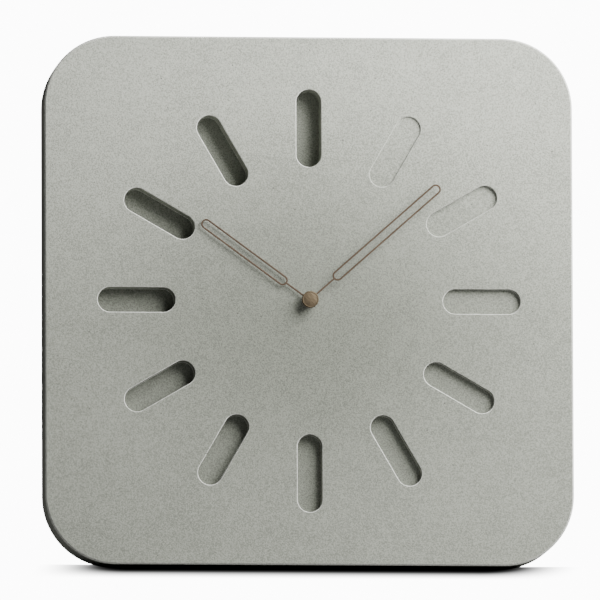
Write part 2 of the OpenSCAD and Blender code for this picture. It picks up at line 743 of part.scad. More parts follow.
module seconds_wheel() color([0.88, 0.88, 0.85]) upright() {
    shaft(rear_plate_z + pivot_end, seconds_wheel_z, pivot_r);
    wheel(seconds_teeth, seconds_module, seconds_wheel_z, wheel_t, 0, 4);
    pinion(seconds_pinion_teeth, third_module, seconds_wheel_z + wheel_t,
        third_wheel_z - seconds_wheel_z + 0.2, seconds_pinion_turn);
    shaft(third_wheel_z + wheel_t, minute_tube_end + 0.3, seconds_arbor_r);
}

module third_wheel() color([0.95, 0.95, 0.92]) upright() at(third_at) {
    shaft(rear_plate_z + pivot_end, third_boss_z + boss_hole - 0.2, pivot_r);
    shaft(third_wheel_z - 1, third_wheel_z, 1);
    wheel(third_teeth, third_module, third_wheel_z, wheel_t, 0, 5);
    shaft(third_wheel_z + wheel_t, train_plate_z + plate_t + 0.1, 0.9);
    pinion(third_pinion_teeth, centre_module, train_plate_z + plate_t + 0.1, 1.4,
        third_pinion_turn);
}

module centre_wheel() color([0.9, 0.9, 0.87]) upright() difference() {
    union() {
        wheel(centre_teeth, centre_module, centre_wheel_z, wheel_t, 0, 5);
        shaft(centre_wheel_z - 0.15, centre_wheel_z, 3.1);
    }
    shaft(centre_wheel_z - 0.2, centre_wheel_z + wheel_t + eps, clutch_seat_r + fit_gap);
}

// A dished spring ring between the centre wheel and the minute pinion's flange
module clutch_washer() color([0.8, 0.66, 0.35]) upright() {
    low = centre_wheel_z + wheel_t + 0.04;
    high = flange_z - 0.04;
    inner = clutch_seat_r + 0.2;
    outer = clutch_flange_r;
    t = 0.15;
    rotate_extrude() polygon([[inner, high - t], [inner, high], [outer, low + t], [outer, low]]);
}

module minute_pinion() color([0.85, 0.7, 0.4]) upright() difference() {
    union() {
        shaft(train_plate_z + 0.1, minute_pinion_z, clutch_seat_r);
        shaft(flange_z, minute_pinion_z, clutch_flange_r);
        pinion(minute_pinion_teeth, motion_module, minute_pinion_z, 1.7, 0);
        shaft(minute_pinion_z, minute_tube_end, minute_tube_r);
    }
    shaft(train_plate_z, minute_tube_end + eps, minute_bore_r);
}

module motion_wheel() color([0.93, 0.93, 0.9]) upright() at(motion_at) {
    shaft(train_plate_z + pivot_end, inner_front + 0.5, motion_pin_r);
    shaft(motion_wheel_z - 0.9, motion_wheel_z, 1.1);
    wheel(motion_teeth, motion_module, motion_wheel_z, wheel_t, motion_turn, 4);
    pinion(motion_pinion_teeth, hour_module, motion_wheel_z + wheel_t,
        inner_front - 0.35 - motion_wheel_z - wheel_t, 0);
}

module hour_wheel() color([0.95, 0.95, 0.93]) upright() difference() {
    union() {
        wheel(hour_teeth, hour_module, hour_wheel_z, 0.9, hour_turn, 5);
        shaft(hour_wheel_z, hour_tube_end, hour_tube_r);
    }
    shaft(hour_wheel_z - eps, hour_tube_end + eps, hour_bore_r);
}

module setting_shaft() color([0.9, 0.9, 0.9]) upright() at(setting_at) {
    shaft(knob_z + knob_web, minute_pinion_z, setting_shaft_r);
    pinion(setting_teeth, motion_module, minute_pinion_z, setting_pinion_t, setting_turned);
    shaft(minute_pinion_z + setting_pinion_t, setting_boss_z + boss_hole - 0.2, setting_tip_r);
}

module setting_knob() color([0.75, 0.12, 0.1]) upright() at(setting_at) difference() {
    shaft(knob_z, knob_z + knob_t, knob_r);
    shaft(knob_z + knob_web, knob_z + knob_t + eps, setting_shaft_r + press_gap);
    for (i = [1:knob_grips]) rotate(360 * i / knob_grips) translate([knob_r + 0.15, 0, 0])
        shaft(knob_z - eps, knob_z + knob_t + eps, knob_grip_r, $fn = 24);
}

// ---- Hands ----

// A hand that points up: a ring round the collet, a thin stem and a long open loop
module hand(length, open_from, hole_r, ring_r, z) translate([0, 0, z]) linear_extrude(hand_t)
    difference() {
        union() {
            circle(ring_r);
            translate([-hand_line / 2, 0]) square([hand_line, open_from + hand_line / 2]);
            translate([0, (length + open_from) / 2])
                slot_ring_2d(length - open_from, hand_w, hand_line);
        }
        circle(hole_r);
    }

module hour_hand() color([0.72, 0.5, 0.38]) upright() rotate([0, 0, -hour_angle])
    hand(hour_len, hour_open_from, hour_neck_r + press_gap, hour_neck_r + 0.95, hour_hand_z);

module minute_hand() color([0.72, 0.5, 0.38]) upright() rotate([0, 0, -minute_angle])
    hand(minute_len, minute_open_from, minute_neck_r + press_gap, minute_neck_r + 1.1,
        minute_hand_z);

// A collar that stands behind a hand, with a neck through the hand's hole
module collet(hand_z, tube_r, neck_r) {
    ring(hand_z - collet_t, collet_t, neck_r + collet_rim, tube_r + press_gap);
    ring(hand_z, hand_t, neck_r, tube_r + press_gap);
}

module hour_collet() color([0.78, 0.64, 0.4]) upright()
    collet(hour_hand_z, hour_tube_r, hour_neck_r);

module minute_collet() color([0.78, 0.64, 0.4]) upright()
    collet(minute_hand_z, minute_tube_r, minute_neck_r);

module hand_cap() color([0.62, 0.5, 0.36]) upright() {
    r = cap_d / 2;
    room_r = minute_tube_r + press_gap;
    room_z = minute_tube_end + 0.7;
    soft = 0.35;
    top = cap_z + cap_t;
    rotate_extrude() polygon([
        [room_r, cap_z], [r - 0.2, cap_z], [r, cap_z + 0.2], [r, top - soft], [r - soft, top],
        [0, top], [0, room_z], [room_r, room_z]
    ]);
}

dial_block();
hanger_plate();
hanger_screws();
hanger_plugs();
movement_inserts();
movement_screws();
movement_case();
rear_cover();
train_plate();
rear_plate();
stator();
coil_core();
coil_bobbin();
coil_winding();
circuit_board();
chip_cover();
quartz_crystal();
battery();
positive_terminal();
negative_terminal();
rotor_magnet();
rotor_pinion();
intermediate_wheel();
seconds_wheel();
third_wheel();
centre_wheel();
clutch_washer();
minute_pinion();
motion_wheel();
hour_wheel();
setting_shaft();
setting_knob();
hour_hand();
hour_collet();
minute_hand();
minute_collet();
hand_cap();
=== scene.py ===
"""A square cast wall clock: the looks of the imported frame, in metres, in the frame's own axes.

The dial faces -Y, +Z is up the dial, and the hands turn about the Y axis. Every piece takes its place
from the frame. Sizes that are written here are in millimetres unless a class says otherwise.
"""

import json
import logging
import math
from dataclasses import dataclass
from enum import Enum

import bmesh
import bpy
from mathutils import Matrix, Vector

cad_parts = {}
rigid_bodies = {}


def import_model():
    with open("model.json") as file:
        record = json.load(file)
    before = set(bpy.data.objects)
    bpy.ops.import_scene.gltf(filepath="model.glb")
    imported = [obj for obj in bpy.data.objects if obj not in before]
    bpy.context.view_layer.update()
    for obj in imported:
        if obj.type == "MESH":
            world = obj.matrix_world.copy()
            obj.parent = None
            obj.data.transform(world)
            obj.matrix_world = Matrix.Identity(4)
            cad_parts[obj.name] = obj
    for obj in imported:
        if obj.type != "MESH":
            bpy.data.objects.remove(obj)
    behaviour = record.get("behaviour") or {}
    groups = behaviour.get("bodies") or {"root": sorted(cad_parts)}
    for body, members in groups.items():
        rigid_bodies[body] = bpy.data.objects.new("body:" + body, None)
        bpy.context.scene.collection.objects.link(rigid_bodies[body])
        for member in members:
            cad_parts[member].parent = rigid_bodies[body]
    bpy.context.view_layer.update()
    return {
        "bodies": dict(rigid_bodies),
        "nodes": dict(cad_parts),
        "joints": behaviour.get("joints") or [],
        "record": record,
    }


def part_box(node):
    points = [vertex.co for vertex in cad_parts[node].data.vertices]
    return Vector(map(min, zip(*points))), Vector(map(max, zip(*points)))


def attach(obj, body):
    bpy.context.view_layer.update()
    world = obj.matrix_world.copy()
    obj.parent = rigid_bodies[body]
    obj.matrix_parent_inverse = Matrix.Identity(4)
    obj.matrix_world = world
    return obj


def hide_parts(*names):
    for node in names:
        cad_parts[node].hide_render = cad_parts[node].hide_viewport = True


LOG = logging.getLogger("wall_clock")
MM = 0.001
DEGREES_AN_HOUR = 30.0

# Points closer than WELD are merged, faces that meet at less than FLAT are joined, and the shading is
# smooth across edges that bend by less than SMOOTH_BELOW.
WELD = 0.002 * MM
FLAT = math.radians(0.6)
SMOOTH_BELOW = math.radians(32.0)
EVEN_WEIGHT = 100
FINE_STEPS = 2

# A direction along which no two corners of a spun piece are level.
SKEW = Vector((1.0, 7.1317, 53.9171))

# The two marks on the slab's faces: rims paled by rubbing and a painted highlight, and the depth of
# the recesses, which the cement darkens as painted shade.
WEAR_AND_HIGHLIGHT = "wear_and_highlight"
SUNK = "sunk"

Colour = tuple[float, float, float]
Way = tuple[float, float, float]
Span = tuple[float, float]


class Body(Enum):
    """The bodies of the frame that new pieces ride on."""

    CLOCK = "clock_body"
    MINUTE = "minute_works"
    HOUR = "hour_works"
    SETTING = "setting_works"


class Slot(Enum):
    """The record's material slots that new pieces take their finish from."""

    CEMENT = "cast_cement"
    ZINC = "zinc_steel"
    BRASS = "brass"
    BLACK = "black_plastic"
    JACKET = "battery_jacket"
    RED = "red_plastic"
    COPPER = "copper_hand"
    BRONZE = "cap_bronze"


# ---- Shader maths ----


class Wire:
    """A shader socket, or a plain number, that Python's operators work on."""

    def __init__(self, graph: "Graph", value: bpy.types.NodeSocket | float | None) -> None:
        """Keeps the graph, and the socket or number."""
        self.graph = graph
        self.value = value

    def _maths(self, operation: str, first: "Wire | float", second: "Wire | float") -> "Wire":
        """Adds one Math node."""
        return self.graph.node("ShaderNodeMath", {"operation": operation}, {0: first, 1: second})

    def __add__(self, other: "Wire | float") -> "Wire":
        """Sum."""
        return self._maths("ADD", self, other)

    def __radd__(self, other: "Wire | float") -> "Wire":
        """Sum, reflected."""
        return self._maths("ADD", other, self)

    def __sub__(self, other: "Wire | float") -> "Wire":
        """Difference."""
        return self._maths("SUBTRACT", self, other)

    def __rsub__(self, other: "Wire | float") -> "Wire":
        """Difference, reflected."""
        return self._maths("SUBTRACT", other, self)

    def __mul__(self, other: "Wire | float") -> "Wire":
        """Product."""
        return self._maths("MULTIPLY", self, other)

    def __rmul__(self, other: "Wire | float") -> "Wire":
        """Product, reflected."""
        return self._maths("MULTIPLY", other, self)

    def clamped(self) -> "Wire":
        """The value kept between 0 and 1."""
        return self.graph.node("ShaderNodeClamp", {}, {"Value": self})


# What an input of a node takes.
Feed = Wire | float | tuple


class Graph:
    """The node tree of one material, or of the surroundings, written as calls."""

    def __init__(self, owner: bpy.types.Material | bpy.types.World) -> None:
        """Empties a tree.

        Args:
            owner: what the tree belongs to.
        """
        self.owner = owner
        owner.use_nodes = True
        self.tree = owner.node_tree
        self.tree.nodes.clear()

    @classmethod
    def of_material(cls, name: str) -> "Graph":
        """The empty tree of a new material."""
        return cls(bpy.data.materials.new(name))

    def node(self, kind: str, settings: dict[str, object], inputs: dict[int | str, Feed],
             output: int | str = 0) -> Wire:
        """Adds any node.

        Args:
            kind: the node's Blender type.
            settings: the node's own properties, which are set first.
            inputs: a socket's name or number, to a Wire, a number or a tuple.
            output: name or number of the output that is wanted.

        Returns:
            The output as a Wire.
        """
        made = self.tree.nodes.new(kind)
        for key, value in settings.items():
            setattr(made, key, value)
        for key, value in inputs.items():
            self._feed(made.inputs[key], value)
        return Wire(self, made.outputs[output] if made.outputs else None)

    def _feed(self, socket: bpy.types.NodeSocket, value: Feed) -> None:
        """Links or sets one input.

        Args:
            socket: the input.
            value: a Wire, which is linked, or a number or tuple, which is set.
        """
        if isinstance(value, Wire):
            self.tree.links.new(value.value, socket)
        elif isinstance(value, tuple) and socket.type == "RGBA":
            socket.default_value = (*value, 1.0)
        else:
            socket.default_value = value

    def place(self, stretch: Way = (1.0, 1.0, 1.0)) -> Wire:
        """Object coordinates in millimetres.

        Args:
            stretch: factors along the axes.

        Returns:
            The coordinates.
        """
        where = self.node("ShaderNodeTexCoord", {}, {}, "Object")
        size = tuple(factor / MM for factor in stretch)
        return self.node("ShaderNodeVectorMath", {"operation": "MULTIPLY"}, {0: where, 1: size})

    def axis(self, where: Wire, name: str) -> Wire:
        """One coordinate, X, Y or Z, of a place."""
        return self.node("ShaderNodeSeparateXYZ", {}, {"Vector": where}, name)

    def noise(self, where: Wire, scale: float, detail: float = 2.0, rough: float = 0.5) -> Wire:
        """Noise from 0 to 1."""
        return self.node("ShaderNodeTexNoise", {},
                         {"Vector": where, "Scale": scale, "Detail": detail, "Roughness": rough})

    def points(self, where: Wire, scale: float) -> Wire:
        """Distance to the nearest of a field of scattered points."""
        return self.node("ShaderNodeTexVoronoi", {}, {"Vector": where, "Scale": scale}, "Distance")

    def fade(self, value: Wire, low: float, high: float) -> Wire:
        """0 where value is at low and 1 where it is at high, with a smooth step between."""
        return self.node("ShaderNodeMapRange", {"interpolation_type": "SMOOTHSTEP"},
                         {"Value": value, "From Min": low, "From Max": high})

    def blend(self, mask: Wire, first: Wire | Colour, second: Wire | Colour,
              how: str = "MIX") -> Wire:
        """A colour that goes from first to second as mask goes from 0 to 1.

        Args:
            mask: how far the second has taken over.
            first: colour where the mask is 0.
            second: colour where it is 1, or what the first is multiplied by there.
            how: MIX or MULTIPLY.

        Returns:
            The colour.
        """
        return self.node("ShaderNodeMix", {"data_type": "RGBA", "blend_type": how},
                         {0: mask, 6: first, 7: second}, 2)

    def attribute(self, name: str) -> Wire:
        """A number that the mesh carries on its faces."""
        return self.node("ShaderNodeAttribute", {"attribute_name": name}, {}, "Fac")

    def bump(self, height: Wire, rise: float, strength: float = 1.0) -> Wire:
        """A bumped normal. Rise is what a height of 1 stands for, in millimetres."""
        return self.node("ShaderNodeBump", {},
                         {"Height": height, "Distance": rise * MM, "Strength": strength})

    def close(self, shader: Wire) -> bpy.types.Material:
        """Ends the tree with a surface shader and gives the material."""
        self.node("ShaderNodeOutputMaterial", {}, {"Surface": shader})
        return self.owner

    def principled(self, **sockets: Feed) -> bpy.types.Material:
        """Ends the tree with a principled shader.

        Args:
            sockets: the shader's inputs, with an underscore for each space in a name.

        Returns:
            The material.
        """
        named = {key.replace("_", " "): value for key, value in sockets.items()}
        return self.close(self.node("ShaderNodeBsdfPrincipled", {}, named))


# ---- Finishes ----


@dataclass(frozen=True)
class CastCement:
    """Fine grey cement: sandy grain, faint clouds, a few pinholes and paler edges, partly from
    rubbing and partly a painted highlight.

    It has painted shade: it darkens towards the middle, towards the foot and deep in the recesses.
    Scales are repeats to the millimetre, and a range is where a pattern starts to show and where it
    is full.
    """

    name: str = "cast_cement"
    light: Colour = (0.46, 0.475, 0.42)
    dark: Colour = (0.26, 0.272, 0.235)
    pinhole: Colour = (0.08, 0.08, 0.07)
    rubbed_and_highlight: Colour = (0.72, 0.73, 0.69)
    painted_shade: Colour = (0.325, 0.34, 0.31)
    cloud_scale: float = 0.018
    blotch_scale: float = 0.11
    sand_scale: float = 1.15
    dust_scale: float = 4.2
    grit_scale: float = 1.2
    hole_scale: float = 0.11
    sand_range: Span = (0.3, 0.7)
    grit_range: Span = (0.12, 0.5)
    hole_range: Span = (0.03, 0.06)
    cloud_share: float = 0.5
    grit_share: float = 0.8
    dust_share: float = 0.3
    darkening: float = 1.26
    # Painted shade towards the middle and the foot: how strong it is, and where it starts and ends.
    middle_shade: float = 0.34
    middle_shade_reach: Span = (20.0, 150.0)
    foot_shade: float = 0.45
    foot_shade_height: Span = (-30.0, 140.0)
    sunk_shade: float = 0.5
    least_rub_and_highlight: float = 0.4
    sand_rub_and_highlight: float = 0.4
    hole_shade: float = 0.7
    sand_height: float = 0.4
    hole_depth: float = 1.5
    grain_rise: float = 0.05
    roughness: float = 0.80
    sand_rough: float = 0.14
    gloss: float = 0.3

    def material(self) -> bpy.types.Material:
        """Makes the finish.

        Returns:
            The material.
        """
        g = Graph.of_material(self.name)
        where = g.place()
        clouds = g.noise(where, self.cloud_scale, 3.0)
        blotches = g.noise(where, self.blotch_scale, 3.0, 0.6)
        sand = g.fade(g.noise(where, self.sand_scale, 2.0, 0.7), *self.sand_range)
        dust = g.fade(g.noise(where, self.dust_scale, 1.0), *self.sand_range)
        grit = g.fade(g.points(where, self.grit_scale), *self.grit_range)
        holes = 1.0 - g.fade(g.points(where, self.hole_scale), *self.hole_range)
        paler = clouds * self.cloud_share + blotches * self.cloud_share + sand \
            + grit * self.grit_share + dust * self.dust_share - self.darkening
        tone = g.blend(paler.clamped(), self.dark, self.light)
        # Painted shade: the tone darkens towards the middle of the slab and towards its foot.
        spread = g.node("ShaderNodeVectorMath", {"operation": "LENGTH"}, {0: where}, "Value")
        middle = 1.0 - g.fade(spread, *self.middle_shade_reach)
        foot = 1.0 - g.fade(g.axis(where, "Z"), *self.foot_shade_height)
        painted_shading = middle * self.middle_shade + foot * self.foot_shade
        tone = g.blend(painted_shading, tone, self.painted_shade, "MULTIPLY")
        # Painted shade: the recesses darken with their depth.
        tone = g.blend(g.attribute(SUNK) * self.sunk_shade, tone, self.painted_shade, "MULTIPLY")
        # Painted highlight: the slanted rim faces turn paler, partly from rubbing and partly as a
        # highlight painted on.
        worn_and_highlit = g.attribute(WEAR_AND_HIGHLIGHT) * (self.least_rub_and_highlight + sand * self.sand_rub_and_highlight)
        tone = g.blend(worn_and_highlit, tone, self.rubbed_and_highlight)
        tone = g.blend(holes * self.hole_shade, tone, self.pinhole)
        height = sand * self.sand_height + grit * self.sand_height + dust * self.dust_share \
            - holes * self.hole_depth
        return g.principled(Base_Color=tone, Roughness=self.roughness + sand * self.sand_rough,
                            Specular_IOR_Level=self.gloss, Normal=g.bump(height, self.grain_rise))


@dataclass(frozen=True)
class BrushedMetal:
    """Metal with fine brush lines, and faint smudges.

    Lines says how closely they stand along each axis, and slant turns them about Y, in degrees.
    """

    name: str
    tint: Colour
    shade: Colour
    roughness: float = 0.32
    lines: Way = (5.0, 5.0, 0.35)
    slant: float = 0.0
    smudge_scale: float = 0.09
    streak_share: float = 0.6
    smudge_share: float = 0.4
    streak_rough: float = 0.12
    smudge_rough: float = 0.08
    line_rise: float = 0.02

    def material(self) -> bpy.types.Material:
        """Makes the finish.

        Returns:
            The material.
        """
        g = Graph.of_material(self.name)
        turned = g.node("ShaderNodeVectorRotate", {"rotation_type": "Y_AXIS"},
                        {"Vector": g.place(), "Angle": math.radians(self.slant)})
        along = g.node("ShaderNodeVectorMath", {"operation": "MULTIPLY"},
                       {0: turned, 1: self.lines})
        streaks = g.noise(along, 1.0, 2.0, 0.6)
        smudges = g.noise(g.place(), self.smudge_scale, 2.0)
        bright = g.fade(streaks * self.streak_share + smudges * self.smudge_share, 0.25, 0.75)
        rough = self.roughness + streaks * self.streak_rough + smudges * self.smudge_rough
        return g.principled(Base_Color=g.blend(bright, self.shade, self.tint), Metallic=1.0,
                            Roughness=rough, Normal=g.bump(streaks, self.line_rise, 0.5))


@dataclass(frozen=True)
class MouldedPlastic:
    """Moulded plastic with a fine spark-eroded texture and a slight haze."""

    name: str
    tint: Colour
    shade: Colour
    roughness: float = 0.42
    grain: float = 1.7
    rise: float = 0.03
    haze_scale: float = 0.06
    haze_share: float = 0.7
    grain_rough: float = 0.12

    def material(self) -> bpy.types.Material:
        """Makes the finish.

        Returns:
            The material.
        """
        g = Graph.of_material(self.name)
        where = g.place()
        grain = g.noise(where, self.grain, 2.0, 0.55)
        haze = g.noise(where, self.haze_scale, 2.0)
        bright = g.fade(haze * self.haze_share + grain * (1.0 - self.haze_share), 0.3, 0.7)
        return g.principled(Base_Color=g.blend(bright, self.shade, self.tint),
                            Roughness=self.roughness + grain * self.grain_rough,
                            Normal=g.bump(grain, self.rise, 0.6))


@dataclass(frozen=True)
class WoundWire:
    """Enamelled wire, wound in close turns about the X axis."""

    name: str = "copper_wire"
    tint: Colour = (0.70, 0.28, 0.12)
    shade: Colour = (0.30, 0.09, 0.04)
    turns: float = 3.2
    sway: float = 0.2
    roughness: float = 0.22
    turn_rough: float = 0.1
    turn_rise: float = 0.04

    def material(self) -> bpy.types.Material:
        """Makes the finish.

        Returns:
            The material.
        """
        g = Graph.of_material(self.name)
        turns = g.node("ShaderNodeTexWave", {"bands_direction": "X"},
                       {"Vector": g.place(), "Scale": self.turns, "Distortion": self.sway}, 1)
        tone = g.blend(g.fade(turns, 0.1, 0.8), self.shade, self.tint)
        return g.principled(Base_Color=tone, Metallic=1.0,
                            Roughness=self.roughness + turns * self.turn_rough,
                            Normal=g.bump(turns, self.turn_rise, 0.8))


@dataclass(frozen=True)
class CircuitBoard:
    """Green lacquered board with faint tracks and a few tinned pads."""

    name: str = "green_board"
    lacquer: Colour = (0.02, 0.15, 0.07)
    track: Colour = (0.04, 0.25, 0.11)
    solder: Colour = (0.55, 0.56, 0.58)
    track_stretch: Way = (1.0, 1.0, 0.15)
    track_scale: float = 0.7
    track_range: Span = (0.25, 0.33)
    pad_scale: float = 0.33
    pad_range: Span = (0.14, 0.18)
    roughness: float = 0.34
    pad_gloss: float = 0.06
    rise: float = 0.04

    def material(self) -> bpy.types.Material:
        """Makes the finish.

        Returns:
            The material.
        """
        g = Graph.of_material(self.name)
        stretched = g.place(self.track_stretch)
        tracks = g.fade(g.points(stretched, self.track_scale), *self.track_range)
        pads = 1.0 - g.fade(g.points(g.place(), self.pad_scale), *self.pad_range)
        tone = g.blend(pads, g.blend(tracks, self.track, self.lacquer), self.solder)
        return g.principled(Base_Color=tone, Metallic=pads * 0.9,
                            Roughness=self.roughness - pads * self.pad_gloss,
                            Normal=g.bump(pads - tracks * 0.4, self.rise, 0.6))


@dataclass(frozen=True)
class BatteryJacket:
    """Printed jacket: a dark body, a warm band by the raised end and bare metal past it."""

    name: str = "battery_jacket"
    body: Colour = (0.035, 0.085, 0.06)
    line: Colour = (0.75, 0.74, 0.68)
    band: Colour = (0.55, 0.30, 0.10)
    metal: Colour = (0.72, 0.73, 0.74)
    band_from: float = -13.0
    bare_from: float = -23.2
    line_width: float = 0.9
    edge: float = 0.05
    scuff_stretch: Way = (0.3, 2.0, 2.0)
    roughness: float = 0.22
    scuff_rough: float = 0.16
    scuff_rise: float = 0.012
    varnish: float = 0.3

    def material(self) -> bpy.types.Material:
        """Makes the finish.

        Returns:
            The material.
        """
        g = Graph.of_material(self.name)
        x = g.axis(g.place(), "X")
        past_band = self._past(g, x, self.band_from)
        past_line = self._past(g, x, self.band_from + self.line_width)
        in_band = 1.0 - past_band
        in_line = past_band * (1.0 - past_line)
        bare = 1.0 - self._past(g, x, self.bare_from)
        scuffs = g.noise(g.place(self.scuff_stretch), 1.0, 2.0)
        tone = g.blend(in_line, g.blend(in_band, self.body, self.band), self.line)
        tone = g.blend(bare, tone, self.metal)
        return g.principled(Base_Color=tone, Metallic=bare,
                            Roughness=self.roughness + scuffs * self.scuff_rough,
                            Coat_Weight=(1.0 - bare) * self.varnish,
                            Normal=g.bump(scuffs, self.scuff_rise, 0.5))

    def _past(self, g: Graph, x: Wire, place: float) -> Wire:
        """0 before a place along the battery and 1 past it."""
        return g.fade(x, place - self.edge, place + self.edge)


FINISHES = (
    CastCement(),
    BrushedMetal("zinc_steel", (0.72, 0.73, 0.75), (0.55, 0.56, 0.58), 0.30, (0.35, 5.0, 5.0)),
    MouldedPlastic("pale_plastic", (0.80, 0.79, 0.74), (0.72, 0.71, 0.66)),
    BrushedMetal("brass", (0.80, 0.62, 0.32), (0.62, 0.45, 0.20), 0.26),
    MouldedPlastic("black_plastic", (0.032, 0.032, 0.035), (0.02, 0.02, 0.022), 0.46, 1.4, 0.05),
    BrushedMetal("core_steel", (0.48, 0.49, 0.51), (0.34, 0.35, 0.37), 0.45),
    WoundWire(),
    CircuitBoard(),
    MouldedPlastic("black_resin", (0.02, 0.02, 0.021), (0.012, 0.012, 0.013), 0.18, 0.8, 0.05),
    BatteryJacket(),
    BrushedMetal("contact_metal", (0.74, 0.71, 0.62), (0.6, 0.56, 0.46), 0.28, (5.0, 5.0, 0.5)),
    MouldedPlastic("magnet", (0.08, 0.08, 0.09), (0.05, 0.05, 0.055), 0.5, 2.5, 0.04),
    MouldedPlastic("gear_plastic", (0.86, 0.85, 0.80), (0.78, 0.77, 0.71), 0.38),
    MouldedPlastic("red_plastic", (0.50, 0.035, 0.028), (0.38, 0.025, 0.02), 0.36),
    BrushedMetal("copper_hand", (0.125, 0.092, 0.068), (0.075, 0.054, 0.04), 0.5, (3.0, 3.0, 3.0)),
    BrushedMetal("cap_bronze", (0.215, 0.172, 0.115), (0.062, 0.046, 0.029), 0.62, (3.0, 0.0, 0.3),
                 slant=48.0),
)


# ---- Making pieces ----


class Bench:
    """Turns bmeshes into finished pieces, and dresses the nodes of the frame that stay."""

    def __init__(self, frame: dict) -> None:
        """Makes the materials.
        """
        self.nodes = frame["nodes"]
        self.slots = {row["node"]: row["material_slot"] for row in frame["record"]["subparts"]}
        self.materials = {finish.name: finish.material() for finish in FINISHES}

    def copy_of(self, node: str) -> bmesh.types.BMesh:
        """A copy of a node's mesh with its triangles welded and its flat faces joined.

        Args:
            node: the node.

        Returns:
            The bmesh.
        """
        bm = bmesh.new()
        bm.from_mesh(self.nodes[node].data)
        bmesh.ops.remove_doubles(bm, verts=bm.verts, dist=WELD)
        bmesh.ops.dissolve_limit(bm, angle_limit=FLAT, use_dissolve_boundaries=False,
                                 verts=bm.verts, edges=bm.edges)
        return bm

    @staticmethod
    def round_edges(bm: bmesh.types.BMesh, radius: float, segments: int = 3,
                    sharper_than: float = 28.0) -> None:
        """Rounds every edge whose faces meet at more than an angle.

        Args:
            bm: the mesh, changed in place.
            radius: width of the rounding in millimetres.
            segments: faces across the rounding.
            sharper_than: the angle in degrees.
        """
        limit = math.radians(sharper_than)
        sharp = [e for e in bm.edges if e.is_manifold and e.calc_face_angle() > limit]
        bmesh.ops.bevel(bm, geom=sharp, offset=radius * MM, offset_type="OFFSET", affect="EDGES",
                        segments=segments, profile=0.5, material=-1, clamp_overlap=True)

    def place(self, name: str, bm: bmesh.types.BMesh, slot: Slot, body: Body,
              *replaced: str) -> bpy.types.Object:
        """Makes a bmesh a finished piece that rides on a body.

        Args:
            name: the piece's name.
            bm: its mesh, in place, which is freed.
            slot: the material slot of its finish.
            body: the body that it moves with.
            replaced: the CAD nodes that it stands for.

        Returns:
            The piece.
        """
        mesh = bpy.data.meshes.new(name)
        bm.to_mesh(mesh)
        bm.free()
        mesh.shade_smooth()
        mesh.set_sharp_from_angle(angle=SMOOTH_BELOW)
        mesh.materials.append(self.materials[slot.value])
        piece = bpy.data.objects.new(name, mesh)
        bpy.context.scene.collection.objects.link(piece)
        even = piece.modifiers.new("even_shading", "WEIGHTED_NORMAL")
        even.weight = EVEN_WEIGHT
        even.keep_sharp = True
        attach(piece, body.value)
        if replaced:
            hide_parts(*replaced)
        LOG.info("made %s, %d faces, on %s", name, len(mesh.polygons), body.value)
        return piece

    def soften(self, node: str, slot: Slot, body: Body, radius: float, segments: int = 3) -> None:
        """Replaces a node with a copy whose edges are rounded.

        Args:
            node: the node.
            slot: its material slot.
            body: its body.
            radius: width of the rounding in millimetres.
            segments: faces across the rounding.
        """
        bm = self.copy_of(node)
        self.round_edges(bm, radius, segments)
        self.place(node + "_finished", bm, slot, body, node)

    def turned(self, profile: list[Span], steps: int, along: Vector, start: Vector,
               out: Vector) -> bmesh.types.BMesh:
        """A closed turned piece.

        Args:
            profile: places along the axis and radii, in millimetres, from one end to the other,
                both on the axis.
            steps: faces round the axis.
            along: direction of the axis.
            start: the point on the axis where the profile's places begin, in metres.
            out: a direction square to the axis.

        Returns:
            The bmesh.
        """
        bm = bmesh.new()
        corners = [bm.verts.new(start + along * (a * MM) + out * (r * MM)) for a, r in profile]
        edges = [bm.edges.new(pair) for pair in zip(corners, corners[1:])]
        bmesh.ops.spin(bm, geom=corners + edges, cent=start, axis=along, angle=math.tau,
                       steps=steps, use_merge=True)
        bmesh.ops.remove_doubles(bm, verts=bm.verts, dist=WELD)
        bmesh.ops.recalc_face_normals(bm, faces=bm.faces)
        self.put_in_order(bm)
        return bm

    @staticmethod
    def put_in_order(bm: bmesh.types.BMesh) -> None:
        """Sorts a spun mesh by place, because spin leaves its parts in another order each run."""
        bm.verts.sort(key=lambda vert: vert.co.dot(SKEW))
        bm.faces.sort(key=lambda face: face.calc_center_median().dot(SKEW))

    def dress_the_rest(self) -> None:
        """Gives each node of the frame the finish of its material slot."""
        for node, piece in self.nodes.items():
            piece.data.materials.clear()
            piece.data.materials.append(self.materials[self.slots[node]])
            LOG.info("dressed %s in %s", node, self.slots[node])


# ---- The clock's pieces ----


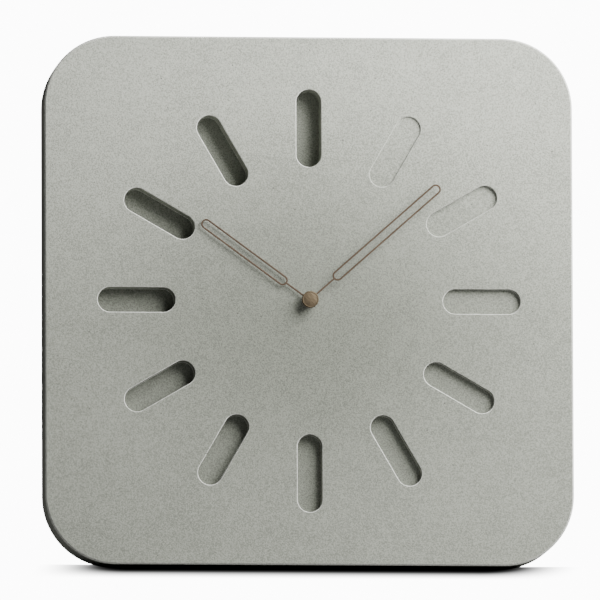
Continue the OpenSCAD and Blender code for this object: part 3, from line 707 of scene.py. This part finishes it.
@dataclass
class DialBlock:
    """The cast slab with its hour recesses, its edges rounded soft."""

    edge_round: float = 0.2
    edge_steps: int = 3
    ring_reach: float = 125.0
    deepest: float = 12.0
    floor_room: float = 1.0
    # Painted highlight on the rims, partly from rubbing: least on the shallow early hours, full from
    # the last hour on.
    least_wear_and_highlight: float = 0.1
    wear_and_highlight_an_hour: float = 0.22
    last_worn_and_highlit_hour: float = 11.5
    slanted: Span = (0.2, 0.985)

    def build(self, bench: Bench) -> None:
        """Makes the slab.

        Args:
            bench: what makes and dresses pieces.
        """
        bm = bench.copy_of("dial_block")
        bench.round_edges(bm, self.edge_round, self.edge_steps)
        self.mark_wear_highlight_and_shade(bm)
        bench.place("dial_block_finished", bm, Slot.CEMENT, Body.CLOCK, "dial_block")

    def mark_wear_highlight_and_shade(self, bm: bmesh.types.BMesh) -> None:
        """Marks the slanted faces of the rims as paled by rubbing and a painted highlight, and the
        inside of each recess by its depth, which the cement darkens as painted shade.

        Args:
            bm: the slab's mesh, which gets the two marks.
        """
        wear_and_highlight = bm.faces.layers.float.new(WEAR_AND_HIGHLIGHT)
        sunk = bm.faces.layers.float.new(SUNK)
        front = min(vert.co.y for vert in bm.verts)
        bm.normal_update()
        for face in bm.faces:
            centre = face.calc_center_median()
            depth = (centre.y - front) / MM
            in_ring = math.hypot(centre.x, centre.z) / MM < self.ring_reach
            rim = self._rim_wear_and_highlight(centre) if in_ring else 1.0
            in_recess = in_ring and depth < self.deepest + self.floor_room
            face[wear_and_highlight] = rim if self.slanted[0] < abs(face.normal.y) < self.slanted[1] else 0.0
            # The depth mark feeds the painted shade in the recesses.
            face[sunk] = min(depth / self.deepest, 1.0) if in_recess else 0.0

    def _rim_wear_and_highlight(self, centre: Vector) -> float:
        """How pale a recess's rim is, from rubbing and a painted highlight. The shallow early hours
        show it least.

        Args:
            centre: a point on the rim.

        Returns:
            Rubbing and painted highlight from 0 to 1.
        """
        hour = math.degrees(math.atan2(centre.x, centre.z)) % 360.0 / DEGREES_AN_HOUR
        if hour >= self.last_worn_and_highlit_hour:
            return 1.0
        return min(self.least_wear_and_highlight + self.wear_and_highlight_an_hour * hour, 1.0)


@dataclass
class Hanger:
    """The keyhole plate in the slab's back, with its countersunk screws."""

    plate_round: float = 0.15
    screw_round: float = 0.06

    def build(self, bench: Bench) -> None:
        """Makes the plate and its screws."""
        bench.soften("hanger_plate", Slot.ZINC, Body.CLOCK, self.plate_round)
        bench.soften("hanger_screws", Slot.ZINC, Body.CLOCK, self.screw_round, FINE_STEPS)


@dataclass
class Movement:
    """The outside of the movement: its case, cover, screws and setting knob."""

    case_round: float = 0.05
    cover_round: float = 0.06
    knob_round: float = 0.12
    screw_round: float = 0.08
    arrow_r: float = 3.1
    arrow_line: float = 0.35
    arrow_rise: float = 0.2
    arrow_sweep: float = 250.0
    arrow_steps: int = 40
    arrow_head: float = 1.0
    arrow_taper: float = 0.9

    def build(self, bench: Bench) -> None:
        """Makes the pieces one by one.

        Args:
            bench: what makes and dresses pieces.
        """
        for node, slot, body, radius in (
                ("movement_case", Slot.BLACK, Body.CLOCK, self.case_round),
                ("rear_cover", Slot.BLACK, Body.CLOCK, self.cover_round),
                ("movement_screws", Slot.ZINC, Body.CLOCK, self.screw_round),
                ("setting_knob", Slot.RED, Body.SETTING, self.knob_round)):
            bench.soften(node, slot, body, radius, FINE_STEPS)
        self.knob_arrow(bench)

    def knob_arrow(self, bench: Bench) -> None:
        """Makes the arrow that is moulded round the back of the setting knob.

        Args:
            bench: what makes and dresses pieces.
        """
        low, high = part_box("setting_knob")
        centre = Vector(((low.x + high.x) / 2, high.y, (low.z + high.z) / 2))
        bm = bmesh.new()
        line, rise = self.arrow_line * MM, self.arrow_rise * MM
        bmesh.ops.create_cube(bm, size=1.0)
        bmesh.ops.scale(bm, vec=(line, 2 * rise, line), verts=bm.verts)
        bmesh.ops.translate(bm, vec=centre + Vector((self.arrow_r * MM, 0, 0)), verts=bm.verts)
        first = min(bm.faces, key=lambda face: face.normal.z)
        bmesh.ops.delete(bm, geom=[f for f in bm.faces if f != first], context="FACES")
        section = list(bm.faces) + list(bm.edges) + list(bm.verts)
        bmesh.ops.spin(bm, geom=section, cent=centre, axis=(0, -1, 0),
                       angle=math.radians(self.arrow_sweep), steps=self.arrow_steps,
                       use_merge=False)
        bmesh.ops.recalc_face_normals(bm, faces=bm.faces)
        bench.put_in_order(bm)
        self._arrow_head(bm, centre)
        bench.place("setting_arrow", bm, Slot.RED, Body.SETTING)

    def _arrow_head(self, bm: bmesh.types.BMesh, centre: Vector) -> None:
        """Adds the arrow's three-cornered head at the end of its line.

        Args:
            bm: the line's mesh, which gets the head.
            centre: the middle of the knob's back.
        """
        end = math.radians(self.arrow_sweep)
        radius = self.arrow_head * MM
        spot = centre + Vector((math.cos(end), 0, math.sin(end))) * (self.arrow_r * MM)
        turn = Matrix.Rotation(-end - math.pi / 2, 4, "Y") @ Matrix.Rotation(math.pi / 2, 4, "X")
        bmesh.ops.create_cone(bm, cap_ends=True, segments=3, radius1=radius,
                              radius2=self.arrow_taper * radius, depth=2 * self.arrow_rise * MM,
                              matrix=Matrix.Translation(spot) @ turn)


@dataclass
class Battery:
    """The battery in its bay, with rolled ends, a jacket lip and a raised terminal."""

    roll: float = 0.7
    roll_steps: int = 5
    lip: float = 0.18
    lip_slope: float = 0.5
    lip_drop: float = 0.12
    end_turn: tuple[float, float, float] = (0.5, 0.9, 1.2)
    end_edge: float = 0.02
    gutter: float = 0.25
    gutter_foot: float = 0.5
    nub_foot: float = 0.1
    nub_r: float = 2.7
    nub_len: float = 1.4
    nub_round: Span = (0.3, 0.35)
    dimple: float = 0.15
    dimple_r: float = 4.6
    dimple_slope: float = 0.2
    steps: int = 96

    def build(self, bench: Bench) -> None:
        """Makes the battery.

        Args:
            bench: what makes and dresses pieces.
        """
        low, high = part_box("battery")
        start = Vector((high.x, (low.y + high.y) / 2, (low.z + high.z) / 2))
        profile = self._profile((high.x - low.x) / MM, (high.z - low.z) / 2 / MM)
        bm = bench.turned(profile, self.steps, Vector((-1, 0, 0)), start, Vector((0, 0, 1)))
        bench.place("battery_finished", bm, Slot.JACKET, Body.CLOCK, "battery")

    def _profile(self, length: float, radius: float) -> list[Span]:
        """The outline from the flat end to the raised one.

        Args:
            length: overall, with the raised terminal.
            radius: of the jacket.

        Returns:
            Places along the axis and radii.
        """
        shoulder = length - self.nub_len
        first, second, third = self.end_turn
        flat_end = [(self.dimple, 0.0), (self.dimple, self.dimple_r),
                    (0.0, self.dimple_r + self.dimple_slope), (0.0, radius - self.roll)]
        jacket_lip = [(shoulder - self.lip - self.lip_slope, radius),
                      (shoulder - self.lip, radius - self.lip_drop),
                      (shoulder - self.end_edge, radius - first), (shoulder, radius - second)]
        gutter = [(shoulder - self.gutter, radius - third),
                  (shoulder - self.gutter, self.nub_r + self.gutter_foot),
                  (shoulder, self.nub_r + self.nub_foot)]
        terminal = [(length - self.nub_round[0], self.nub_r),
                    (length, self.nub_r - self.nub_round[1]), (length, 0.0)]
        return [*flat_end, *self._rolled(radius), *jacket_lip, *gutter, *terminal]

    def _rolled(self, radius: float) -> list[Span]:
        """The rounded corner between the flat end and the side."""
        turns = [math.pi / 2 * i / self.roll_steps for i in range(1, self.roll_steps + 1)]
        return [(self.roll - self.roll * math.cos(turn),
                 radius - self.roll + self.roll * math.sin(turn)) for turn in turns]


@dataclass
class HandSet:
    """The two open hands, their collets and the cap over the shaft."""

    line_round: float = 0.14
    collet_round: float = 0.08
    bore_r: float = 1.53
    cap_wall: float = 1.1
    cap_chamfer: float = 0.25
    cap_round: float = 0.4
    cap_round_steps: int = 6
    cap_rim: float = 0.75
    cap_groove: float = 0.12
    groove_width: float = 0.25
    groove_foot: float = 0.45
    face_sink: Span = (0.03, 0.06)
    steps: int = 96

    def build(self, bench: Bench) -> None:
        """Makes the pieces one by one.

        Args:
            bench: what makes and dresses pieces.
        """
        bench.soften("hour_hand", Slot.COPPER, Body.HOUR, self.line_round)
        bench.soften("hour_collet", Slot.BRASS, Body.HOUR, self.collet_round, FINE_STEPS)
        bench.soften("minute_hand", Slot.COPPER, Body.MINUTE, self.line_round)
        bench.soften("minute_collet", Slot.BRASS, Body.MINUTE, self.collet_round, FINE_STEPS)
        self.cap(bench)

    def cap(self, bench: Bench) -> None:
        """Makes the turned cap: a closed button with a rounded rim and a shallow dished face.

        Args:
            bench: what makes and dresses pieces.
        """
        low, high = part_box("hand_cap")
        start = Vector(((low.x + high.x) / 2, high.y, (low.z + high.z) / 2))
        profile = self._cap_profile((high.y - low.y) / MM, (high.x - low.x) / 2 / MM)
        bm = bench.turned(profile, self.steps, Vector((0, -1, 0)), start, Vector((0, 0, 1)))
        bench.place("hand_cap_finished", bm, Slot.BRONZE, Body.MINUTE, "hand_cap")

    def _cap_profile(self, depth: float, radius: float) -> list[Span]:
        """The cap's outline, from the closed end of its bore round to its face.

        Args:
            depth: from its back to its face.
            radius: of its side.

        Returns:
            Places along the axis and radii.
        """
        inner = radius - self.cap_rim
        near, middle = self.face_sink
        turns = [math.pi / 2 * i / self.cap_round_steps for i in range(self.cap_round_steps + 1)]
        bore = [(depth - self.cap_wall, 0.0), (depth - self.cap_wall, self.bore_r),
                (0.0, self.bore_r), (0.0, radius - self.cap_chamfer), (self.cap_chamfer, radius)]
        rim = [(depth - self.cap_round + self.cap_round * math.sin(turn),
                radius - self.cap_round + self.cap_round * math.cos(turn)) for turn in turns]
        groove = [(depth, inner + self.cap_groove), (depth - self.cap_groove, inner),
                  (depth - self.cap_groove, inner - self.groove_width)]
        return [*bore, *rim, *groove, (depth - near, inner - self.groove_foot),
                (depth - middle, 0.0)]


# ---- Stage, light and camera ----


@dataclass
class Studio:
    """The floor, the lights and the camera round the clock.

    Angles are in degrees. Sizes are in metres, apart from the contact shadow's, in millimetres.
    """

    azimuth: float = -5.6
    elevation: float = -6.1
    distance: float = 10.0
    roll: float = -0.22
    frame_width: float = 0.3390
    aside: float = -0.0053
    raised: float = 0.0003
    sensor: float = 36.0
    clip: Span = (0.1, 40.0)
    lamp_tint: Colour = (1.0, 0.995, 0.98)
    key_way: Way = (0.72, -0.6, 0.66)
    key_distance: float = 0.82
    key_size: float = 0.75
    key_watts: float = 29.5
    back_way: Way = (0.9, 1.1, 0.75)
    back_distance: float = 1.2
    back_size: float = 0.7
    back_watts: float = 22.0
    fill_strength: float = 0.06
    backdrop_strength: float = 12.0
    floor_half: float = 2.0
    floor_gap: float = 0.0004
    floor_glow: float = 1.0
    paper: Colour = (0.85, 0.85, 0.84)
    glow: Colour = (1.0, 1.0, 0.99)
    dull: Colour = (0.2, 0.2, 0.2)
    shadow_sides: Span = (-50.0, 6.0)
    shadow_front: Span = (-1.0, 3.0)
    shadow_back: Span = (-12.0, 62.0)

    def view_axes(self) -> tuple[Vector, Vector, Vector]:
        """Works out how the camera is turned.

        Returns:
            Its right, up and backward directions.
        """
        a, e = math.radians(self.azimuth), math.radians(self.elevation)
        back = Vector((math.sin(a) * math.cos(e), -math.cos(a) * math.cos(e), math.sin(e)))
        level = Vector((math.cos(a), math.sin(a), 0.0))
        right = Matrix.Rotation(math.radians(self.roll), 3, back) @ level
        return right, back.cross(right), back

    def make_camera(self, target: Vector) -> None:
        """Sets up a long lens that looks at the dial.

        Args:
            target: the middle of the dial's face.
        """
        right, up, back = self.view_axes()
        data = bpy.data.cameras.new("camera")
        data.sensor_width = self.sensor
        data.lens = self.sensor * self.distance / self.frame_width
        data.clip_start, data.clip_end = self.clip
        camera = bpy.data.objects.new("camera", data)
        bpy.context.scene.collection.objects.link(camera)
        spot = target + back * self.distance + right * self.aside + up * self.raised
        axes = Matrix((right, up, back)).transposed().to_4x4()
        camera.matrix_world = Matrix.Translation(spot) @ axes
        bpy.context.scene.camera = camera

    def make_lights(self, target: Vector) -> None:
        """Sets up a soft key at the upper right, a lamp behind and a faint fill from all round.

        Args:
            target: the middle of the dial's face.
        """
        self._lamp("key", target, self.key_way, self.key_distance, self.key_size, self.key_watts)
        self._lamp("back", target, self.back_way, self.back_distance, self.back_size,
                   self.back_watts)
        self._surround()

    def _lamp(self, name: str, target: Vector, towards: Way, distance: float, size: float,
              watts: float) -> None:
        """Hangs one square soft box that faces the dial.

        Args:
            name: what the lamp is called.
            target: the point it faces.
            towards: the direction from the target to the lamp.
            distance: how far away it hangs.
            size: side of the box.
            watts: its power.
        """
        way = Vector(towards).normalized()
        data = bpy.data.lights.new(name, "AREA")
        data.size = size
        data.energy = watts
        data.color = self.lamp_tint
        lamp = bpy.data.objects.new(name, data)
        bpy.context.scene.collection.objects.link(lamp)
        turn = way.to_track_quat("Z", "Y").to_matrix().to_4x4()
        lamp.matrix_world = Matrix.Translation(target + way * distance) @ turn

    def _surround(self) -> None:
        """A white backdrop for the camera, and a faint even light for everything else."""
        g = Graph(bpy.data.worlds.new("surroundings"))
        seen = g.node("ShaderNodeLightPath", {}, {}, "Is Camera Ray")
        fill, backdrop = (
            g.node("ShaderNodeBackground", {}, {"Color": (1.0, 1.0, 1.0), "Strength": strength})
            for strength in (self.fill_strength, self.backdrop_strength))
        both = g.node("ShaderNodeMixShader", {}, {0: seen, 1: fill, 2: backdrop})
        g.node("ShaderNodeOutputWorld", {}, {"Surface": both})
        bpy.context.scene.world = g.owner

    def make_floor(self, block: tuple[Vector, Vector]) -> None:
        """Lays the floor just under the slab.

        Args:
            block: lowest and highest corner of the slab.
        """
        bm = bmesh.new()
        bmesh.ops.create_grid(bm, x_segments=1, y_segments=1, size=self.floor_half)
        bmesh.ops.translate(bm, vec=(0, 0, block[0].z - self.floor_gap), verts=bm.verts)
        mesh = bpy.data.meshes.new("floor")
        bm.to_mesh(mesh)
        bm.free()
        mesh.materials.append(self._floor_material(block))
        floor = bpy.data.objects.new("floor", mesh)
        bpy.context.scene.collection.objects.link(floor)

    def _floor_material(self, block: tuple[Vector, Vector]) -> bpy.types.Material:
        """A floor that is pale from above, and dull for light that bounces off it on to the clock.

        From below it is clear, apart from the clock's soft contact shadow.

        Args:
            block: lowest and highest corner of the slab.

        Returns:
            The material.
        """
        g = Graph.of_material("pale_floor")
        seen = g.node("ShaderNodeLightPath", {}, {}, "Is Camera Ray")
        paper = g.node("ShaderNodeBsdfDiffuse", {}, {"Color": self.paper})
        glow = g.node("ShaderNodeEmission", {}, {"Color": self.glow, "Strength": self.floor_glow})
        lit = g.node("ShaderNodeAddShader", {}, {0: paper, 1: glow})
        dull = g.node("ShaderNodeBsdfDiffuse", {}, {"Color": self.dull})
        above = g.node("ShaderNodeMixShader", {}, {0: seen, 1: dull, 2: lit})
        clear = g.node("ShaderNodeBsdfTransparent", {}, {})
        black = g.node("ShaderNodeEmission", {}, {"Color": (0.0, 0.0, 0.0)})
        below = g.node("ShaderNodeMixShader", {},
                       {0: self._contact(g, block), 1: clear, 2: black})
        under = g.node("ShaderNodeNewGeometry", {}, {}, "Backfacing")
        return g.close(g.node("ShaderNodeMixShader", {}, {0: under, 1: above, 2: below}))

    def _contact(self, g: Graph, block: tuple[Vector, Vector]) -> Wire:
        """The contact shadow: full under the slab, and gone at its sides and some way behind it.

        Args:
            g: the floor's tree.
            block: lowest and highest corner of the slab.

        Returns:
            Darkness from 0 to 1.
        """
        low, high = block
        half, face = (high.x - low.x) / 2 / MM, low.y / MM
        where = g.place()
        across = g.node("ShaderNodeMath", {"operation": "ABSOLUTE"}, {0: g.axis(where, "X")})
        y = g.axis(where, "Y")
        reach = 1.0 - g.fade(across, half + self.shadow_sides[0], half + self.shadow_sides[1])
        front = g.fade(y, face + self.shadow_front[0], face + self.shadow_front[1])
        light = 1.0 - reach * front * (1.0 - g.fade(y, *self.shadow_back))
        light = light * light
        return 1.0 - light * light


def main() -> None:
    """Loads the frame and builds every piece."""
    logging.basicConfig(level=logging.INFO, format="%(name)s: %(message)s")
    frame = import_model()
    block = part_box("dial_block")
    face = Vector((0.0, block[0].y, (block[0].z + block[1].z) / 2))
    studio = Studio()
    studio.make_camera(face)
    studio.make_lights(face)
    studio.make_floor(block)
    bench = Bench(frame)
    bench.dress_the_rest()
    for assembly in (DialBlock(), Hanger(), Movement(), Battery(), HandSet()):
        LOG.info("building %s", type(assembly).__name__)
        assembly.build(bench)


if __name__ == "__main__":
    main()
